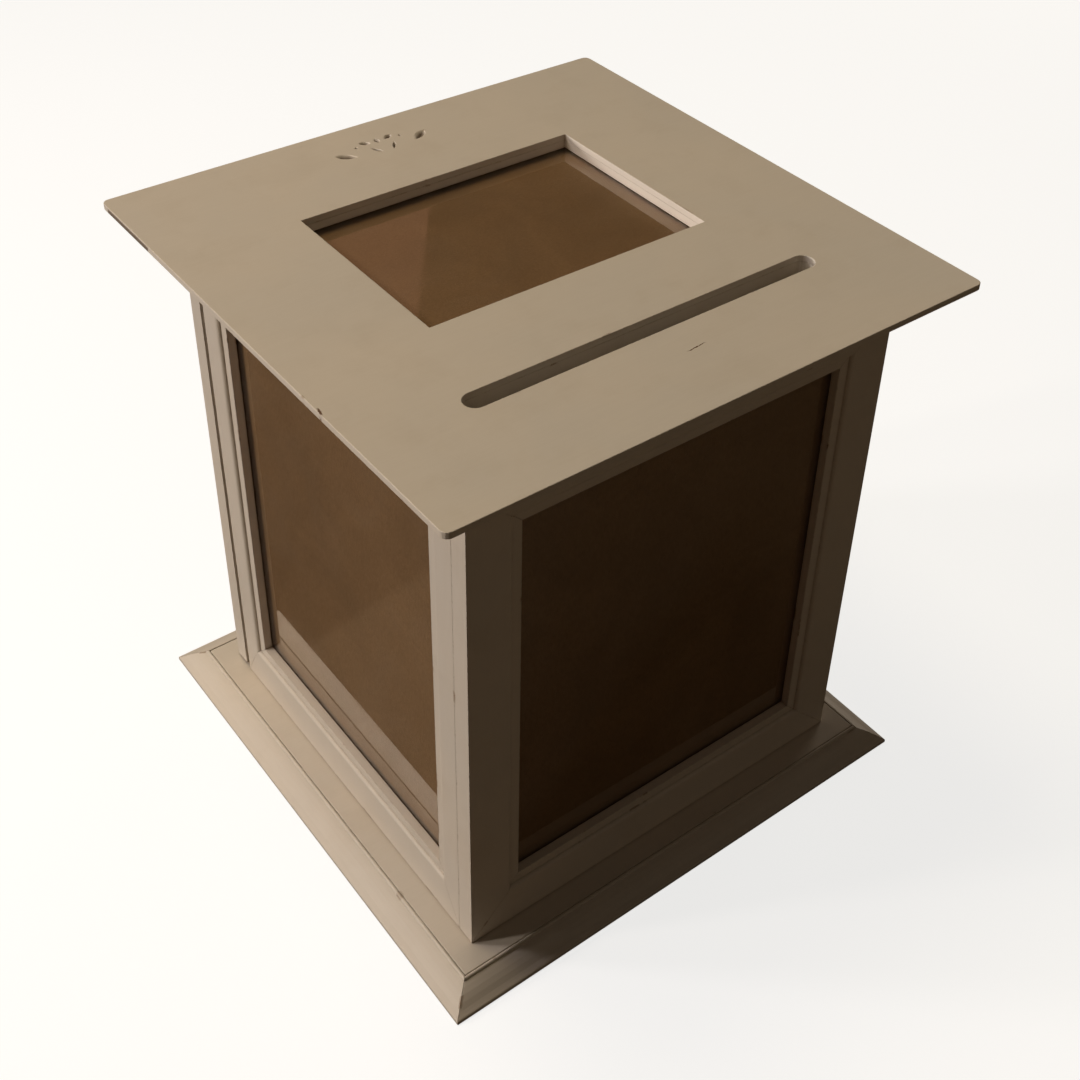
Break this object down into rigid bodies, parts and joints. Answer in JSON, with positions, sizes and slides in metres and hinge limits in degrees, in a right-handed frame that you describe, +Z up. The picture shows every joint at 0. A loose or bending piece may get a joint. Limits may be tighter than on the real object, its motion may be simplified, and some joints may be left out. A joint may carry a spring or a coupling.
{
  "type": "wedding card box",
  "caption": "Glazed wooden card box with picture frame sides on a moulded plinth, a flat overhanging lid with a card slot and a glazed window, and a hinged rear frame.",
  "frame": {"origin": "centre of the underside of the plinth", "axes": "+Z up, -Y is the front with the card slot near it, +Y is the rear door"},
  "size_m": [0.3048, 0.3048, 0.3216],
  "materials": {
    "cream_paint": "brushed cream paint over wood, satin, lightly worn",
    "raw_wood": "bare pine",
    "hardboard": "smooth dark brown hardboard",
    "clear_glass": "clear float glass",
    "zinc_plate": "zinc plated steel",
    "brass": "satin brass",
    "brushed_nickel": "brushed nickel",
    "white_plastic": "moulded, matt",
    "dark_magnet": "sintered ferrite"
  },
  "bodies": {
    "cabinet": {"catch_housing": "white_plastic", "catch_magnet": "dark_magnet", "catch_screw_left": "zinc_plate", "catch_screw_right": "zinc_plate", "corner_block_left": "raw_wood", "corner_block_right": "raw_wood", "front_backing_board": "hardboard", "front_glass": "clear_glass", "front_rail_bottom": "cream_paint", "front_rail_top": "cream_paint", "front_stile_left": "cream_paint", "front_stile_right": "cream_paint", "left_backing_board": "hardboard", "left_glass": "clear_glass", "left_rail_bottom": "cream_paint", "left_rail_top": "cream_paint", "left_stile_front": "cream_paint", "left_stile_rear": "cream_paint", "lid_backing_board": "hardboard", "lid_glass": "clear_glass", "lid_plate": "cream_paint", "lower_hinge_frame_leaf": "brass", "lower_hinge_pin": "brass", "plinth_board": "cream_paint", "plinth_moulding_front": "cream_paint", "plinth_moulding_left": "cream_paint", "plinth_moulding_rear": "cream_paint", "plinth_moulding_right": "cream_paint", "right_backing_board": "hardboard", "right_glass": "clear_glass", "right_rail_bottom": "cream_paint", "right_rail_top": "cream_paint", "right_stile_front": "cream_paint", "right_stile_rear": "cream_paint", "top_board": "cream_paint", "upper_hinge_frame_leaf": "brass", "upper_hinge_pin": "brass"},
    "door": {"door_backing_board": "hardboard", "door_glass": "clear_glass", "door_knob": "brushed_nickel", "door_rail_bottom": "cream_paint", "door_rail_top": "cream_paint", "door_stile_free": "cream_paint", "door_stile_hinge": "cream_paint", "knob_screw": "zinc_plate", "lower_hinge_door_leaf": "brass", "strike_plate": "zinc_plate", "strike_screw": "zinc_plate", "upper_hinge_door_leaf": "brass"},
    "turn_button_door_lower": {"turn_button_door_lower": "zinc_plate"},
    "turn_button_door_upper": {"turn_button_door_upper": "zinc_plate"},
    "turn_button_front_lower": {"turn_button_front_lower": "zinc_plate"},
    "turn_button_front_upper": {"turn_button_front_upper": "zinc_plate"},
    "turn_button_left_lower": {"turn_button_left_lower": "zinc_plate"},
    "turn_button_left_upper": {"turn_button_left_upper": "zinc_plate"},
    "turn_button_lid_left": {"turn_button_lid_left": "zinc_plate"},
    "turn_button_lid_right": {"turn_button_lid_right": "zinc_plate"},
    "turn_button_right_lower": {"turn_button_right_lower": "zinc_plate"},
    "turn_button_right_upper": {"turn_button_right_upper": "zinc_plate"}
  },
  "joints": [
    {"name": "door_hinge", "type": "hinge", "parent": "cabinet", "child": "door", "pos_m": [0.1272, 0.1121, 0.16015], "axis": [0, 0, -1], "range_deg": [0, 180]},
    {"name": "turn_button_door_lower_pivot", "type": "hinge", "parent": "door", "child": "turn_button_door_lower", "pos_m": [0, 0.1139, 0.0319], "axis": [0, -1, 0], "range_deg": [-90, 90]},
    {"name": "turn_button_door_upper_pivot", "type": "hinge", "parent": "door", "child": "turn_button_door_upper", "pos_m": [0, 0.1139, 0.2884], "axis": [0, -1, 0], "range_deg": [-90, 90]},
    {"name": "turn_button_front_lower_pivot", "type": "hinge", "parent": "cabinet", "child": "turn_button_front_lower", "pos_m": [0, -0.1139, 0.0304], "axis": [0, 1, 0], "range_deg": [-90, 90]},
    {"name": "turn_button_front_upper_pivot", "type": "hinge", "parent": "cabinet", "child": "turn_button_front_upper", "pos_m": [0, -0.1139, 0.2899], "axis": [0, 1, 0], "range_deg": [-90, 90]},
    {"name": "turn_button_left_lower_pivot", "type": "hinge", "parent": "cabinet", "child": "turn_button_left_lower", "pos_m": [-0.1139, -0.00165, 0.0304], "axis": [1, 0, 0], "range_deg": [-90, 90]},
    {"name": "turn_button_left_upper_pivot", "type": "hinge", "parent": "cabinet", "child": "turn_button_left_upper", "pos_m": [-0.1139, -0.00165, 0.2899], "axis": [1, 0, 0], "range_deg": [-90, 90]},
    {"name": "turn_button_lid_left_pivot", "type": "hinge", "parent": "cabinet", "child": "turn_button_lid_left", "pos_m": [-0.0938, 0.0229, 0.3097], "axis": [0, 0, -1], "range_deg": [-90, 90]},
    {"name": "turn_button_lid_right_pivot", "type": "hinge", "parent": "cabinet", "child": "turn_button_lid_right", "pos_m": [0.0938, 0.0229, 0.3097], "axis": [0, 0, -1], "range_deg": [-90, 90]},
    {"name": "turn_button_right_lower_pivot", "type": "hinge", "parent": "cabinet", "child": "turn_button_right_lower", "pos_m": [0.1139, -0.00165, 0.0304], "axis": [-1, 0, 0], "range_deg": [-90, 90]},
    {"name": "turn_button_right_upper_pivot", "type": "hinge", "parent": "cabinet", "child": "turn_button_right_upper", "pos_m": [0.1139, -0.00165, 0.2899], "axis": [-1, 0, 0], "range_deg": [-90, 90]}
  ]
}
